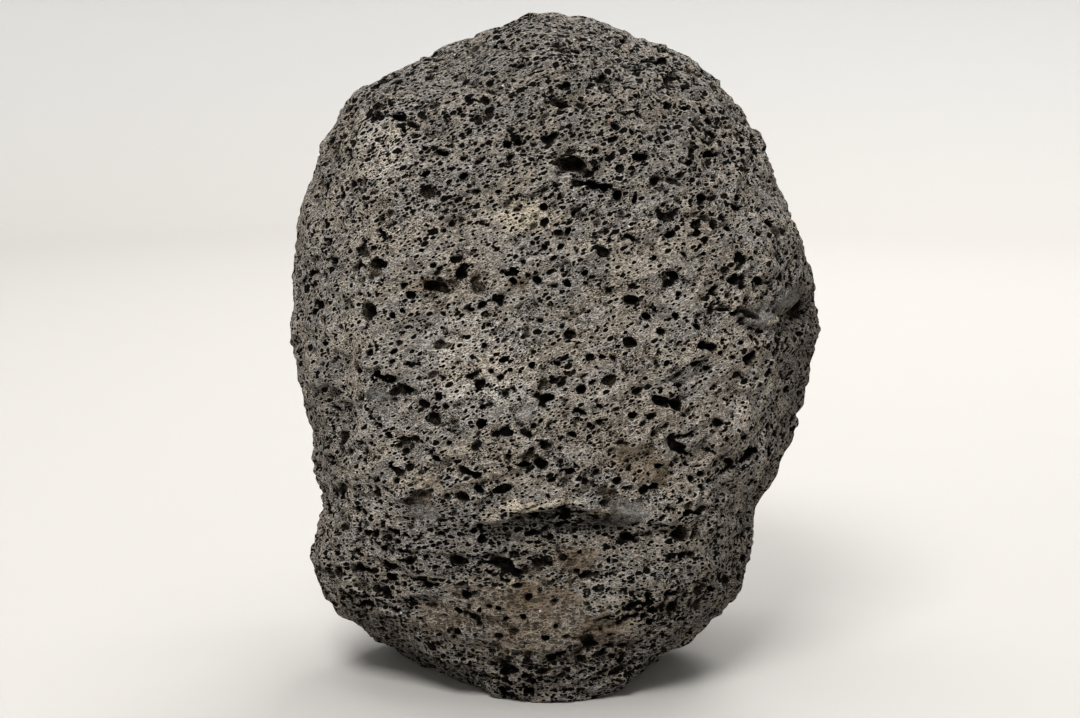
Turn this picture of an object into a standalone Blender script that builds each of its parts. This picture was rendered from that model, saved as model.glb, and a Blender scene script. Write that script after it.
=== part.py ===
"""A lump of vesicular lava rock, standing on the break at its foot.

One solid, in metres, +Z up, with the broad face of the rock towards -Y.  The origin lies
on the foot's plane, under the middle of the rock's bounding box.
"""

import math
import random

import bmesh
import bpy
import numpy as np
from mathutils import Matrix, Vector, noise
from mathutils.bvhtree import BVHTree

MM = 0.001
NAME = "lava_rock"
ROCK_GREY = (0.062, 0.059, 0.056, 1.0)

# Driving sizes, in millimetres: the point that the shape is measured from is the heart
HEART_HEIGHT = 92.0
FRONT_BULGE = 46.0
BACK_BULGE = 50.0
FRONT_FULLNESS = 2.7
BACK_FULLNESS = 2.25
LEAN_BACK = 0.13
SURFACE_TRIANGLES = 3200
FOOT_BLOCK = 300.0

# The outline seen from the front, clockwise from the top: (x, z) in millimetres
OUTLINE = (
    (-6, 178.5), (6, 179), (20, 175), (34, 170), (43, 163), (50, 153), (57, 146), (61, 136),
    (67, 124), (71, 111), (75, 99), (74, 86), (72, 73), (67, 61), (57, 49), (54, 34),
    (51, 20), (43, 7), (29, -4), (12, -19), (-8, -21), (-27, -12), (-46, 1), (-60, 15),
    (-66, 30), (-64, 45), (-65, 58), (-66, 70), (-72, 85), (-73, 105), (-69, 127),
    (-65, 139), (-59, 152), (-52, 160), (-40, 166), (-21, 173),
)

# Broken faces that flatten the form: (outward direction, distance from the heart, mm)
BREAKS = (
    ((-0.20, 0.96, 0.18), 44.0),
    ((0.66, 0.74, 0.10), 57.0),
    ((-0.80, 0.58, -0.12), 60.0),
    ((0.15, 0.80, -0.58), 76.0),
    ((-0.30, 0.62, 0.72), 67.0),
    ((0.86, -0.50, -0.12), 65.0),
    ((-0.76, -0.65, 0.06), 65.0),
    ((0.42, -0.45, 0.79), 79.0),
    ((-0.50, -0.42, -0.76), 90.0),
    ((0.58, -0.30, -0.76), 87.0),
)
BREAK_SOFTNESS = 5.0

# Swellings and hollows: (centre x, y, z), (reach x, y, z), height, all in millimetres
SWELLINGS = (
    ((0, -48, 24), (24, 26, 11), 5.0),
    ((-6, -46, 70), (40, 30, 22), 2.5),
    ((-64, -8, 30), (12, 26, 15), 2.0),
    ((30, -40, 120), (22, 26, 20), 1.5),
    ((-34, -38, 128), (24, 26, 18), 1.5),
    ((8, -42, 47), (26, 24, 5), -3.5),
    ((-62, -20, 49), (14, 26, 8), -2.0),
    ((66, -18, 101), (12, 20, 4), -4.5),
    ((60, -22, 93), (14, 16, 4), 1.5),
    ((10, 46, 60), (26, 24, 18), -5.0),
    ((-24, 48, 112), (22, 24, 20), 3.5),
    ((36, 36, 128), (20, 20, 14), -4.0),
    ((-40, 36, 44), (20, 20, 16), 3.5),
)
ROUGHNESS = ((36.0, 2.0), (15.0, 1.5), (7.5, 0.9))
ROUGHNESS_SEED = Vector((3.7, -8.2, 5.1))

# The larger open bubbles of the broad face: x, z, width, height, tilt up to the right
FACE_PITS = (
    (-48.5, 105.5, 7.0, 4.8, 0), (-61.5, 100, 4.6, 3.0, 10), (-32.5, 136, 5.0, 3.6, 0),
    (-28, 145.5, 5.0, 2.8, 5), (-10.5, 148, 6.0, 3.0, 0), (2, 158.5, 6.0, 3.2, 20),
    (5, 142.5, 8.0, 4.6, 0), (10, 137.5, 11.5, 2.6, 15), (-20, 158.5, 7.0, 2.0, 0),
    (22.5, 144.5, 5.0, 3.0, 10), (30.5, 138.5, 10.0, 2.2, 20), (41, 152.5, 4.0, 2.8, 0),
    (35, 156, 3.8, 3.2, 0), (51, 148, 4.8, 3.8, 0), (22.5, 165.5, 5.0, 2.6, 0),
    (29, 129.5, 4.8, 2.6, 5), (40, 134, 5.4, 2.2, 10), (57, 126, 5.4, 3.0, 10),
    (49.6, 107.8, 4.0, 3.4, 0), (30, 82.5, 8.8, 3.6, 5), (20, 97.5, 4.6, 3.0, 10),
    (39.5, 96.5, 5.8, 2.8, 0), (51, 92, 6.0, 3.8, 0), (36.5, 92, 4.4, 2.4, 10),
    (20, 109, 4.6, 3.0, 0), (14, 94, 5.4, 2.4, 5), (4, 99, 4.6, 3.4, 10),
    (-44, 88, 6.0, 2.6, 20), (-37.5, 85.5, 4.8, 2.6, 25), (-30.5, 78, 4.0, 3.4, 60),
    (-57.5, 81.5, 4.6, 2.6, 0), (-5.5, 67, 8.6, 3.4, 10), (-22.5, 65, 5.0, 2.6, 10),
    (-13, 60, 5.6, 3.4, -15), (-23.5, 57.5, 4.4, 3.2, 0), (-56, 69.5, 5.4, 3.4, 20),
    (-47, 63, 4.0, 3.2, 30), (-37.5, 55.5, 5.0, 2.8, 0), (53, 66, 5.6, 2.4, 5),
    (25, 60, 6.0, 2.8, 0), (-39.5, 47.5, 5.4, 2.6, 0), (-29, 47, 4.2, 2.8, 0),
    (-25, 41, 5.8, 3.2, 5), (-13, 40.5, 6.0, 4.0, 10), (-2.5, 40.5, 6.0, 2.8, 5),
    (-43, 37.5, 5.0, 4.4, 0), (-50, 35.5, 6.0, 2.8, 0), (33, 46, 6.0, 4.4, 20),
    (32, 27, 3.6, 3.6, 0), (-15.5, 28.5, 5.2, 2.6, 5), (0.5, 15.5, 6.0, 3.0, 0),
    (-11, 10.5, 5.0, 2.6, 0), (9.5, 19.5, 5.0, 3.4, 0), (-20.5, 25, 4.2, 2.6, 20),
    (-1, 84, 4.4, 3.0, 0), (-18.5, 77, 3.6, 3.0, 0), (43.5, 76, 5.0, 2.6, 20),
    (7, 86, 3.6, 3.4, 0), (-29.5, 84, 3.6, 2.6, 30), (32.5, 70, 4.8, 2.6, 10),
    (0, 112, 4.4, 3.0, 0), (-40.5, 154, 4.2, 3.0, 0), (-30.5, 112, 6.4, 3.0, 10),
    (-45, 117, 5.4, 2.8, 10), (-52.5, 137, 4.2, 2.6, 0), (13, 121, 4.6, 2.6, 20),
    (47.5, 105.2, 15.0, 2.2, -4),
)
FACE_PIT_DEPTH = 0.85
LARGE_REACH = 2.9

# The hollow that notches the right flank: x, z, width, height, tilt, depth
NOTCH = (62.3, 106.0, 8.0, 6.6, 20, 5.0)

# The ledge across the face: below its edge, given as (x, z), the face steps back, then
# comes forward again
LEDGE_LINE = (
    (-20, 50.5), (-15, 51.2), (-11, 52.4), (-8, 54.6), (-3, 56.0), (5, 56.4), (10, 55.4),
    (17, 53.5), (24, 52.5),
)
LEDGE_END_FADE = 8.0
LEDGE_STEP = 3.2
LEDGE_LIP = 2.0
LEDGE_RECOVERY = 7.0

# Bubbles that open elsewhere on the rock, scattered with a fixed seed
SCATTER_SEED = 11
SCATTER_COUNT = 125
SCATTER_TRIES = 4000
SCATTER_WIDTH = (3.4, 7.0)
SCATTER_FLATNESS = (0.55, 0.9)
SCATTER_TILT = (-15, 35)
SCATTER_DEPTH = 0.8
SCATTER_GAP = 1.2
CLEAR_OF_FACE = -0.45
CLEAR_OF_FOOT = 6.0

# Small bubbles are cut as tapered six-sided wells, in the proportions of a unit sphere
WELL_SIDES = 6
WELL_BOTTOM = 0.6
WELL_MOUTH = 1.4
AHEAD_OF_FACE = -1000.0


def clear_scene():
    """Remove whatever the scene holds."""
    for thing in list(bpy.data.objects):
        bpy.data.objects.remove(thing, do_unlink=True)


def outline_knots():
    """The outline as (angle, distance from the heart) pairs, in order of angle."""
    knots = []
    for x, z in OUTLINE:
        up = z - HEART_HEIGHT
        knots.append((math.atan2(up, x), math.hypot(x, up)))
    return sorted(knots)


KNOTS = outline_knots()


def outline_radius(angle):
    """Distance from the heart to the outline at one angle, by a smooth closed curve."""
    count = len(KNOTS)
    after = next((i for i, knot in enumerate(KNOTS) if knot[0] > angle), count)
    angles = []
    radii = []
    for i in range(after - 2, after + 2):
        turn, index = divmod(i, count)
        angles.append(KNOTS[index][0] + turn * math.tau)
        radii.append(KNOTS[index][1])
    span = angles[2] - angles[1]
    t = (angle - angles[1]) / span
    slope_in = (radii[2] - radii[0]) / (angles[2] - angles[0]) * span
    slope_out = (radii[3] - radii[1]) / (angles[3] - angles[1]) * span
    blend = t * t * (3 - 2 * t)
    return (
        radii[1] * (1 - blend) + radii[2] * blend
        + slope_in * t * (1 - t) ** 2 - slope_out * t * t * (1 - t)
    )


def flattened(point):
    """Press a point, measured from the heart, softly back to the planes of the breaks."""
    for direction, distance in BREAKS:
        normal = Vector(direction).normalized()
        beyond = normal.dot(point) - distance
        if beyond > BREAK_SOFTNESS:
            point = point - normal * beyond
        elif beyond > -BREAK_SOFTNESS:
            point = point - normal * (beyond + BREAK_SOFTNESS) ** 2 / (4 * BREAK_SOFTNESS)
    return point


def ledge_step(x, z):
    """How far the face steps back under its ledge, in millimetres."""
    below = float(np.interp(x, *zip(*LEDGE_LINE))) - z
    inside = min(x - LEDGE_LINE[0][0], LEDGE_LINE[-1][0] - x)
    if below < 0 or inside < 0:
        return 0.0
    ends = min(inside / LEDGE_END_FADE, 1.0)
    lip = min(below / LEDGE_LIP, 1.0)
    return LEDGE_STEP * ends * lip * math.exp(-max(below - LEDGE_LIP, 0) / LEDGE_RECOVERY)


def surface_point(direction):
    """The point of the unpitted rock in one direction from its heart, in millimetres."""
    flat = math.hypot(direction.x, direction.z)
    radius = outline_radius(math.atan2(direction.z, direction.x))
    bulge, fullness = FRONT_BULGE, FRONT_FULLNESS
    if direction.y > 0:
        bulge, fullness = BACK_BULGE, BACK_FULLNESS
    reach = (flat / radius) ** fullness + (abs(direction.y) / bulge) ** fullness
    point = flattened(direction * reach ** (-1 / fullness))
    point.y += LEAN_BACK * point.z
    point.z += HEART_HEIGHT
    lift = 0.0
    for centre, span, height in SWELLINGS:
        away = sum(((point[i] - centre[i]) / span[i]) ** 2 for i in range(3))
        lift += height * math.exp(-away)
    for size, height in ROUGHNESS:
        lift += height * noise.noise(point / size + ROUGHNESS_SEED)
    point += direction * lift
    if direction.y < 0:
        point.y += ledge_step(point.x, point.z)
    return point


def new_object(name, mesh, collection):
    """Put a mesh in the scene as an object of one collection."""
    thing = bpy.data.objects.new(name, mesh)
    collection.objects.link(thing)
    return thing


def new_collection(name):
    """A collection under the scene's own one."""
    collection = bpy.data.collections.new(name)
    bpy.context.scene.collection.children.link(collection)
    return collection


def rock_form(collection):
    """The rock before its bubbles: an icosphere whose points move out to the surface."""
    form = bmesh.new()
    bmesh.ops.create_icosphere(form, subdivisions=6, radius=1.0)
    for vertex in form.verts:
        vertex.co = surface_point(vertex.co.normalized()) * MM
    full_count = len(form.faces)
    mesh = bpy.data.meshes.new(NAME)
    form.to_mesh(mesh)
    form.free()
    rock = new_object(NAME, mesh, collection)
    coarser = rock.modifiers.new("Fewer faces", "DECIMATE")
    coarser.ratio = SURFACE_TRIANGLES / full_count
    return rock


def baked(thing):
    """Replace an object's mesh by what its modifiers make of it."""
    depsgraph = bpy.context.evaluated_depsgraph_get()
    mesh = bpy.data.meshes.new_from_object(thing.evaluated_get(depsgraph))
    thing.modifiers.clear()
    thing.data = mesh
    return thing


def pit_matrix(spot, normal, width, height, tilt, depth):
    """Where a bubble's unit sphere goes: wide along the flow, deep along the normal."""
    level = Vector((0, 0, 1)).cross(normal)
    if level.length < 0.1:
        level = Vector((1, 0, 0))
    level.normalize()
    along = Matrix.Rotation(math.radians(-tilt), 3, normal) @ level
    across = normal.cross(along)
    turn = Matrix((along, across, normal)).transposed().to_4x4()
    size = Matrix.Diagonal((width / 2, height / 2, depth, 1.0))
    return Matrix.Translation(spot) @ turn @ size


def face_spot(tree, x, z):
    """Where the face is at x, z in millimetres, and which way it looks there."""
    start = Vector((x, AHEAD_OF_FACE, z)) * MM
    spot, normal, _, _ = tree.ray_cast(start, Vector((0, 1, 0)))
    return spot, normal


def is_clear(spot, reach, pits):
    """Whether a new bubble keeps its gap to the ones already placed."""
    for other, _, room in pits:
        if (spot - other).length < reach + room + SCATTER_GAP * MM:
            return False
    return True


def face_pits(tree):
    """The named bubbles of the broad face, as (spot, matrix, reach) in metres."""
    pits = []
    for x, z, width, height, tilt in FACE_PITS:
        spot, normal = face_spot(tree, x, z)
        depth = FACE_PIT_DEPTH * height
        matrix = pit_matrix(spot, normal, width * MM, height * MM, tilt, depth * MM)
        pits.append((spot, matrix, width * MM / 2))
    return pits


def scattered_pits(tree, taken):
    """Seeded bubbles on the flanks, crown and back, clear of each other."""
    random.seed(SCATTER_SEED)
    heart = Vector((0, 0, HEART_HEIGHT * MM))
    pits = []
    for _ in range(SCATTER_TRIES):
        heading = Vector([random.gauss(0, 1) for _ in range(3)]).normalized()
        width = SCATTER_WIDTH[0] + (SCATTER_WIDTH[1] - SCATTER_WIDTH[0]) * random.random() ** 2
        height = width * random.uniform(*SCATTER_FLATNESS)
        tilt = random.uniform(*SCATTER_TILT)
        spot, normal, _, _ = tree.ray_cast(heart, heading)
        if normal.dot(heading) < 0:
            normal = -normal
        if normal.y < CLEAR_OF_FACE or spot.z < CLEAR_OF_FOOT * MM:
            continue
        reach = width * MM / 2
        if not is_clear(spot, reach, taken + pits):
            continue
        depth = SCATTER_DEPTH * height
        matrix = pit_matrix(spot, normal, width * MM, height * MM, tilt, depth * MM)
        pits.append((spot, matrix, reach))
        if len(pits) == SCATTER_COUNT:
            break
    return pits


def notch(tree):
    """The matrix of the hollow in the right flank."""
    x, z, width, height, tilt, depth = NOTCH
    spot, normal = face_spot(tree, x, z)
    return pit_matrix(spot, normal, width * MM, height * MM, tilt, depth * MM)


def mesh_cutter(name, form, collection):
    """Turn a bmesh into a hidden cutter."""
    mesh = bpy.data.meshes.new(name)
    form.to_mesh(mesh)
    form.free()
    cutter = new_object(name, mesh, collection)
    cutter.hide_render = True
    cutter.display_type = "WIRE"
    return cutter


def cutter_object(name, matrices, subdivisions, collection):
    """Stretched spheres, or plain six-sided wells, joined in one hidden object."""
    forms = bmesh.new()
    for matrix in matrices:
        if subdivisions:
            bmesh.ops.create_icosphere(
                forms, subdivisions=subdivisions, radius=1.0, matrix=matrix
            )
        else:
            bmesh.ops.create_cone(
                forms, cap_ends=True, segments=WELL_SIDES, radius1=WELL_BOTTOM,
                radius2=WELL_MOUTH, depth=2.0, matrix=matrix,
            )
    return mesh_cutter(name, forms, collection)


def cut(rock, cutter):
    """Take one cutter's volume out of the rock."""
    boolean = rock.modifiers.new(cutter.name, "BOOLEAN")
    boolean.operation = "DIFFERENCE"
    boolean.solver = "EXACT"
    boolean.use_self = True
    boolean.object = cutter


def foot_cutter(collection):
    """The block whose top face leaves the flat foot."""
    block = bmesh.new()
    bmesh.ops.create_cube(block, size=FOOT_BLOCK * MM)
    bmesh.ops.translate(block, vec=(0, 0, -FOOT_BLOCK * MM / 2), verts=block.verts)
    return mesh_cutter("foot_plane", block, collection)


def stand_on_origin(rock):
    """Bring the middle of the bounding box's underside to the origin."""
    corners = [vertex.co for vertex in rock.data.vertices]
    low = Vector([min(corner[i] for corner in corners) for i in range(3)])
    high = Vector([max(corner[i] for corner in corners) for i in range(3)])
    shift = Vector((-(low.x + high.x) / 2, -(low.y + high.y) / 2, -low.z))
    rock.data.transform(Matrix.Translation(shift))


def stone_material():
    """Dull dark grey basalt glass."""
    material = bpy.data.materials.new("vesicular_basalt")
    material.use_nodes = True
    shader = material.node_tree.nodes["Principled BSDF"]
    shader.inputs["Base Color"].default_value = ROCK_GREY
    shader.inputs["Roughness"].default_value = 0.92
    shader.inputs["Metallic"].default_value = 0.0
    material.diffuse_color = ROCK_GREY
    return material


def main():
    """Build the rock."""
    clear_scene()
    parts = new_collection(NAME)
    cutters = new_collection("cutters")
    rock = baked(rock_form(parts))
    form = bmesh.new()
    form.from_mesh(rock.data)
    tree = BVHTree.FromBMesh(form)
    form.free()
    named = face_pits(tree)
    scattered = scattered_pits(tree, named)
    large = [matrix for _, matrix, reach in named + scattered if reach > LARGE_REACH * MM]
    small = [matrix for _, matrix, reach in named + scattered if reach <= LARGE_REACH * MM]
    cut(rock, foot_cutter(cutters))
    cut(rock, cutter_object("flank_notch", [notch(tree)], 2, cutters))
    cut(rock, cutter_object("large_bubbles", large, 1, cutters))
    cut(rock, cutter_object("small_bubbles", small, 0, cutters))
    stand_on_origin(baked(rock))
    rock.data.materials.clear()
    rock.data.materials.append(stone_material())
    rock.data.shade_smooth()
    rock.data.set_sharp_from_angle(angle=math.radians(40))


main()
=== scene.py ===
import math

import bmesh
import bpy
import numpy as np
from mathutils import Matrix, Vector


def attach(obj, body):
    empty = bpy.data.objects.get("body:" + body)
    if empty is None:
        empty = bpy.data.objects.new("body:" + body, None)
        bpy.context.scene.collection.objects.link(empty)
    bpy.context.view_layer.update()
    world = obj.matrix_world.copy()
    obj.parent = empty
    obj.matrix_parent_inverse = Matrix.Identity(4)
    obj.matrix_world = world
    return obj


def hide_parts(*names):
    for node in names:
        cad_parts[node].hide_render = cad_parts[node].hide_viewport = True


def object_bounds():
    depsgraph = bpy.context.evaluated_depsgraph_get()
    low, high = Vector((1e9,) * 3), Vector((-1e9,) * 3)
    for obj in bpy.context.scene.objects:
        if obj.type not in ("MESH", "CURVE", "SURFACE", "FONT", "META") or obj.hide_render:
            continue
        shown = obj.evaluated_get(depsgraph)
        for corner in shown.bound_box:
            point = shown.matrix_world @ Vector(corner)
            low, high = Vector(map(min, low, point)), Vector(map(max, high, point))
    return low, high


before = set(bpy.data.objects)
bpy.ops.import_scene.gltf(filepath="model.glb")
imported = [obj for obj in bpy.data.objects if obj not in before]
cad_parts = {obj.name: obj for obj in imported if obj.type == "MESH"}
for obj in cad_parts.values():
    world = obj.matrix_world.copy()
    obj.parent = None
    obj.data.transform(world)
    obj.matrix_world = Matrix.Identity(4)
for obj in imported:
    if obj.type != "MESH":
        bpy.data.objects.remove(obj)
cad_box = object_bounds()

import openvdb
from mathutils import Matrix, Vector, noise
from mathutils.bvhtree import BVHTree

# ---------------------------------------------------------------------------------------
# The lump.  Basalt lava that froze as one piece and was broken out of its flow: a broad
# gently swollen face, flatter breaks round the back, and a flat break to stand on.
# Sizes are millimetres; x is across the face, y is depth, z is height above the foot.
# ---------------------------------------------------------------------------------------
HEART_HEIGHT = 92.0
FRONT_BULGE = 46.0
BACK_BULGE = 50.0
FRONT_FULLNESS = 2.7
BACK_FULLNESS = 2.25
LEAN_BACK = 0.13

# The outline seen from the front, clockwise from the top: (x, z)
OUTLINE = (
    (-6, 178.5), (6, 179), (20, 175), (34, 170), (43, 163), (50, 153), (57, 146), (61, 136),
    (67, 124), (71, 111), (75, 99), (74, 86), (72, 73), (67, 61), (57, 49), (54, 34),
    (51, 20), (43, 7), (29, -4), (12, -19), (-8, -21), (-27, -12), (-46, 1), (-60, 15),
    (-66, 30), (-64, 45), (-65, 58), (-66, 70), (-72, 85), (-73, 105), (-69, 127),
    (-65, 139), (-59, 152), (-52, 160), (-40, 166), (-21, 173),
)

# Broken faces that flatten the form: (outward direction, distance from the heart)
BREAKS = (
    ((-0.20, 0.96, 0.18), 44.0),
    ((0.66, 0.74, 0.10), 57.0),
    ((-0.80, 0.58, -0.12), 60.0),
    ((0.15, 0.80, -0.58), 76.0),
    ((-0.30, 0.62, 0.72), 67.0),
    ((0.86, -0.50, -0.12), 65.0),
    ((-0.76, -0.65, 0.06), 65.0),
    ((0.42, -0.45, 0.79), 79.0),
    ((-0.50, -0.42, -0.76), 90.0),
    ((0.58, -0.30, -0.76), 87.0),
)
BREAK_SOFTNESS = 5.0

FORM_SUBDIVISIONS = 7

# Swellings and hollows: (centre x, y, z), (reach x, y, z), height
SWELLINGS = (
    ((0, -48, 24), (24, 26, 11), 5.0),
    ((-6, -46, 70), (40, 30, 22), 2.5),
    ((-64, -8, 30), (12, 26, 15), 2.0),
    ((30, -40, 120), (22, 26, 20), 1.5),
    ((-34, -38, 128), (24, 26, 18), 1.5),
    ((8, -42, 47), (26, 24, 5), -3.5),
    ((-62, -20, 49), (14, 26, 8), -2.0),
    ((66, -18, 101), (12, 20, 4), -4.5),
    ((60, -22, 93), (14, 16, 4), 1.5),
    ((10, 46, 60), (26, 24, 18), -5.0),
    ((-24, 48, 112), (22, 24, 20), 3.5),
    ((36, 36, 128), (20, 20, 14), -4.0),
    ((-40, 36, 44), (20, 20, 16), 3.5),
)

# The uneven break: (width of its bumps, their height)
ROUGHNESS = ((36.0, 2.0), (15.0, 1.5), (7.5, 0.9))
ROUGHNESS_SEED = Vector((3.7, -8.2, 5.1))

# The ledge across the face: below its wavy edge the face steps back, then comes forward
LEDGE_LINE = (
    (-20, 50.5), (-15, 51.2), (-11, 52.4), (-8, 54.6), (-3, 56.0), (5, 56.4), (10, 55.4), (17, 53.5),
    (24, 52.5),
)
LEDGE_END_FADE = 8.0
LEDGE_STEP = 3.2
LEDGE_LIP = 2.0
LEDGE_RECOVERY = 7.0


def outline_knots():
    """The outline as (angle, distance from the heart) pairs, in order of angle."""
    knots = []
    for x, z in OUTLINE:
        up = z - HEART_HEIGHT
        knots.append((math.atan2(up, x), math.hypot(x, up)))
    return sorted(knots)


KNOTS = outline_knots()


def outline_radius(angle):
    """Distance from the heart to the outline at one angle, by a smooth closed curve."""
    count = len(KNOTS)
    after = next((i for i, knot in enumerate(KNOTS) if knot[0] > angle), count)
    angles = []
    radii = []
    for i in range(after - 2, after + 2):
        turn, index = divmod(i, count)
        angles.append(KNOTS[index][0] + turn * math.tau)
        radii.append(KNOTS[index][1])
    span = angles[2] - angles[1]
    t = (angle - angles[1]) / span
    slope_in = (radii[2] - radii[0]) / (angles[2] - angles[0]) * span
    slope_out = (radii[3] - radii[1]) / (angles[3] - angles[1]) * span
    blend = t * t * (3 - 2 * t)
    return (
        radii[1] * (1 - blend) + radii[2] * blend
        + slope_in * t * (1 - t) ** 2 - slope_out * t * t * (1 - t)
    )


def flattened(point):
    """Press a point, measured from the heart, softly back to the planes of the breaks."""
    for direction, distance in BREAKS:
        normal = Vector(direction).normalized()
        beyond = normal.dot(point) - distance
        if beyond > BREAK_SOFTNESS:
            point = point - normal * beyond
        elif beyond > -BREAK_SOFTNESS:
            point = point - normal * (beyond + BREAK_SOFTNESS) ** 2 / (4 * BREAK_SOFTNESS)
    return point


def ledge_step(x, z):
    """How far the face steps back under its ledge."""
    below = float(np.interp(x, *zip(*LEDGE_LINE))) - z
    inside = min(x - LEDGE_LINE[0][0], LEDGE_LINE[-1][0] - x)
    if below < 0 or inside < 0:
        return 0.0
    ends = min(inside / LEDGE_END_FADE, 1.0)
    lip = min(below / LEDGE_LIP, 1.0)
    return LEDGE_STEP * ends * lip * math.exp(-max(below - LEDGE_LIP, 0) / LEDGE_RECOVERY)


def surface_point(direction):
    """The point of the unpitted rock in one direction from its heart."""
    flat = math.hypot(direction.x, direction.z)
    radius = outline_radius(math.atan2(direction.z, direction.x))
    bulge, fullness = FRONT_BULGE, FRONT_FULLNESS
    if direction.y > 0:
        bulge, fullness = BACK_BULGE, BACK_FULLNESS
    reach = (flat / radius) ** fullness + (abs(direction.y) / bulge) ** fullness
    point = flattened(direction * reach ** (-1 / fullness))
    point.y += LEAN_BACK * point.z
    point.z += HEART_HEIGHT
    lift = 0.0
    for centre, span, height in SWELLINGS:
        away = sum(((point[i] - centre[i]) / span[i]) ** 2 for i in range(3))
        lift += height * math.exp(-away)
    for size, height in ROUGHNESS:
        lift += height * noise.noise(point / size + ROUGHNESS_SEED)
    point += direction * lift
    if direction.y < 0:
        point.y += ledge_step(point.x, point.z)
    return point


def lump_form():
    """The closed unpitted form, an icosphere whose points move out to the surface."""
    form = bmesh.new()
    bmesh.ops.create_icosphere(form, subdivisions=FORM_SUBDIVISIONS, radius=1.0)
    for vertex in form.verts:
        vertex.co = surface_point(vertex.co.normalized())
    form.normal_update()
    return form


form = lump_form()
form_points = np.array([vertex.co for vertex in form.verts], dtype=np.float32)
low = form_points.min(axis=0)
high = form_points.max(axis=0)
low[2] = 0.0
middle = (low + high) / 2
to_frame = Vector((-middle[0], -middle[1], 0.0))
bmesh.ops.translate(form, vec=to_frame, verts=form.verts)
form_points = form_points + np.array(to_frame, dtype=np.float32)
form_faces = np.array(
    [[corner.index for corner in face.verts] for face in form.faces], dtype=np.uint32
)

# ---------------------------------------------------------------------------------------
# The crust.  The break left the glassy basalt crumbly between its bubbles: the form is
# held as distances to its surface on a fine grid, roughened before anything is cut in.
# ---------------------------------------------------------------------------------------
VOXEL = 0.5
FIELD_REACH = 16
CRUMBLE_SEED = 5

# Crumbs, round: (width, height); and grooves along the flow: (length, width, height)
CRUMBLE = ((1.5, 0.10), (8.0, 0.22))
GROOVES = ((4.0, 1.2, 0.20), (9.0, 2.6, 0.25))

# The lava's flow lies nearly level low on the stone and climbs to the right above
FLOW_TILT = (4.0, 25.0)
FLOW_TURNS = (42.0, 66.0)

# Blending draws by quadratic curves evens them out; this brings the spread back to one
BLEND_GAIN = 2.45


def lump_field():
    """Distances to the lump's surface on a grid, negative inside, and the grid's corner."""
    grid = openvdb.FloatGrid.createLevelSetFromPolygons(
        form_points, triangles=form_faces, halfWidth=FIELD_REACH,
        transform=openvdb.createLinearTransform(voxelSize=VOXEL),
    )
    first, last = grid.evalActiveVoxelBoundingBox()
    distances = np.empty([last[i] - first[i] + 1 for i in range(3)], dtype=np.float32)
    grid.copyToArray(distances, ijk=first)
    return distances, np.array(first)


def blend_weights(place, count):
    """Rows of weights that blend a lattice of draws by quadratic curves."""
    before = np.floor(place).astype(int)
    part = place - before
    weights = np.zeros((len(place), count), dtype=np.float32)
    rows = np.arange(len(place))
    weights[rows, before - 1] = 0.5 * (1 - part) ** 2
    weights[rows, before] = 0.5 + part * (1 - part)
    weights[rows, before + 1] = 0.5 * part ** 2
    return weights


def flow_tilt(height):
    """How steeply the lava's flow climbs to the right, in degrees, at one height."""
    return np.interp(height, FLOW_TURNS, FLOW_TILT)


def soft_noise(shape, cell, rng):
    """Smooth noise of unit spread on the grid, from draws one cell apart."""
    values = rng.standard_normal([int(side / cell) + 4 for side in shape], dtype=np.float32)
    for side in shape:
        weights = blend_weights(np.arange(side) / cell + 1.5, values.shape[0])
        values = np.tensordot(values, weights, axes=(0, 1))
    return values * BLEND_GAIN


def drawn_noise(shape, cells, rng):
    """Smooth noise of unit spread, drawn out along the flow of the lava."""
    across = (np.arange(shape[0]) + grid_corner[0]) * VOXEL
    up = (np.arange(shape[2]) + grid_corner[2]) * VOXEL
    climb = np.tan(np.radians(flow_tilt(up)))
    lean = np.abs(across).max() * climb.max()
    rise = (up[None, :] - across[:, None] * climb[None, :] + lean - up[0]) / VOXEL
    counts = [int(shape[0] / cells[0]) + 4, int(shape[1] / cells[1]) + 4]
    counts.append(int(rise.max() / cells[2]) + 4)
    values = rng.standard_normal(counts, dtype=np.float32)
    for axis in (0, 1):
        place = np.arange(shape[axis]) / cells[axis] + 1.5
        values = np.tensordot(values, blend_weights(place, values.shape[0]), axes=(0, 1))
    values = values.transpose(1, 2, 0)
    noisy = np.empty(shape, dtype=np.float32)
    for index in range(shape[0]):
        weights = blend_weights(rise[index] / cells[2] + 1.5, values.shape[2])
        noisy[index] = values[index] @ weights.T
    return noisy * BLEND_GAIN


crust, grid_corner = lump_field()
crumble_rng = np.random.default_rng(CRUMBLE_SEED)
for size, height in CRUMBLE:
    crust += height * soft_noise(crust.shape, size / VOXEL, crumble_rng)
for length, thick, height in GROOVES:
    cells = (length / VOXEL, thick / VOXEL, thick / VOXEL)
    crust += height * drawn_noise(crust.shape, cells, crumble_rng)

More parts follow.
